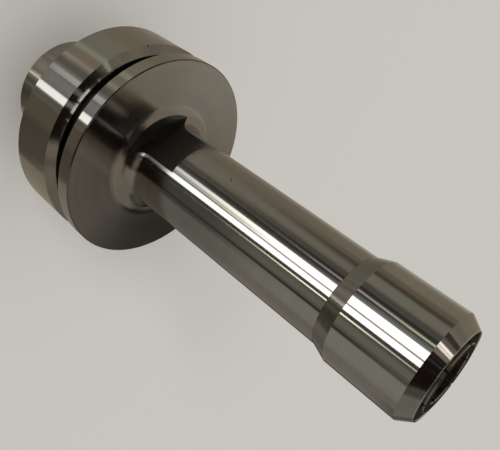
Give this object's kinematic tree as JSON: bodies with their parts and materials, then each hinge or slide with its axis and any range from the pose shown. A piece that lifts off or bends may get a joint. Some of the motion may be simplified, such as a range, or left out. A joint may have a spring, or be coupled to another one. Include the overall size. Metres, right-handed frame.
{
  "type": "collet chuck",
  "caption": "Slim collet chuck with hollow taper shank, grooved flange, slender body with wrench flats and a smooth round bearing nut that closes a slit spring collet.",
  "frame": {"origin": "centre of the gauge face, which is the rear face of the flange", "axes": "+Z along the chuck's axis towards the nose; +X square to the wrench flats"},
  "size_m": [0.063, 0.063, 0.1486],
  "materials": {
    "ground_steel": "ground and polished hardened steel",
    "nut_steel": "polished hardened steel, turned cone behind",
    "bearing_steel": "ground bearing steel",
    "collet_steel": "ground spring steel",
    "black_steel": "blackened steel"
  },
  "bodies": {
    "chuck_body": {"chuck_body": "ground_steel"},
    "collet_and_ring": {"spring_collet": "collet_steel", "thrust_ring": "bearing_steel"},
    "clamping_nut": {"clamping_nut": "nut_steel", "filler_plug": "bearing_steel"},
    "ball_train": {"bearing_ball_01": "bearing_steel", "bearing_ball_02": "bearing_steel", "bearing_ball_03": "bearing_steel", "bearing_ball_04": "bearing_steel", "bearing_ball_05": "bearing_steel", "bearing_ball_06": "bearing_steel", "bearing_ball_07": "bearing_steel", "bearing_ball_08": "bearing_steel", "bearing_ball_09": "bearing_steel", "bearing_ball_10": "bearing_steel", "bearing_ball_11": "bearing_steel", "bearing_ball_12": "bearing_steel", "bearing_ball_13": "bearing_steel", "bearing_ball_14": "bearing_steel", "bearing_ball_15": "bearing_steel", "bearing_ball_16": "bearing_steel", "bearing_ball_17": "bearing_steel", "bearing_ball_18": "bearing_steel", "bearing_ball_19": "bearing_steel", "bearing_ball_20": "bearing_steel", "bearing_ball_21": "bearing_steel", "bearing_ball_22": "bearing_steel", "bearing_ball_23": "bearing_steel", "bearing_ball_24": "bearing_steel", "bearing_ball_25": "bearing_steel", "bearing_ball_26": "bearing_steel", "bearing_ball_27": "bearing_steel", "bearing_ball_28": "bearing_steel", "bearing_ball_29": "bearing_steel", "bearing_ball_30": "bearing_steel", "bearing_ball_31": "bearing_steel", "bearing_ball_32": "bearing_steel", "bearing_ball_33": "bearing_steel", "bearing_ball_34": "bearing_steel"},
    "stop_screw": {"stop_screw": "black_steel"}
  },
  "joints": [
    {"name": "nut_advance", "type": "slide", "parent": "chuck_body", "child": "collet_and_ring", "axis": [0, 0, 1], "range_m": [0, 0.0151]},
    {"name": "nut_turn", "type": "hinge", "parent": "collet_and_ring", "child": "clamping_nut", "pos_m": [0, 0, 0.1187], "axis": [0, 0, 1], "range_deg": [0, 5400]},
    {"name": "ball_travel", "type": "hinge", "parent": "collet_and_ring", "child": "ball_train", "pos_m": [0, 0, 0.1187], "axis": [0, 0, 1], "range_deg": [0, 2700]},
    {"name": "stop_screw_travel", "type": "slide", "parent": "chuck_body", "child": "stop_screw", "axis": [0, 0, 1], "range_m": [-0.007, 0.007]}
  ],
  "couplings": [
    {"joint": "nut_advance", "follows": "nut_turn", "m_per_rad": 0.00015915},
    {"joint": "ball_travel", "follows": "nut_turn", "ratio": 0.5}
  ]
}
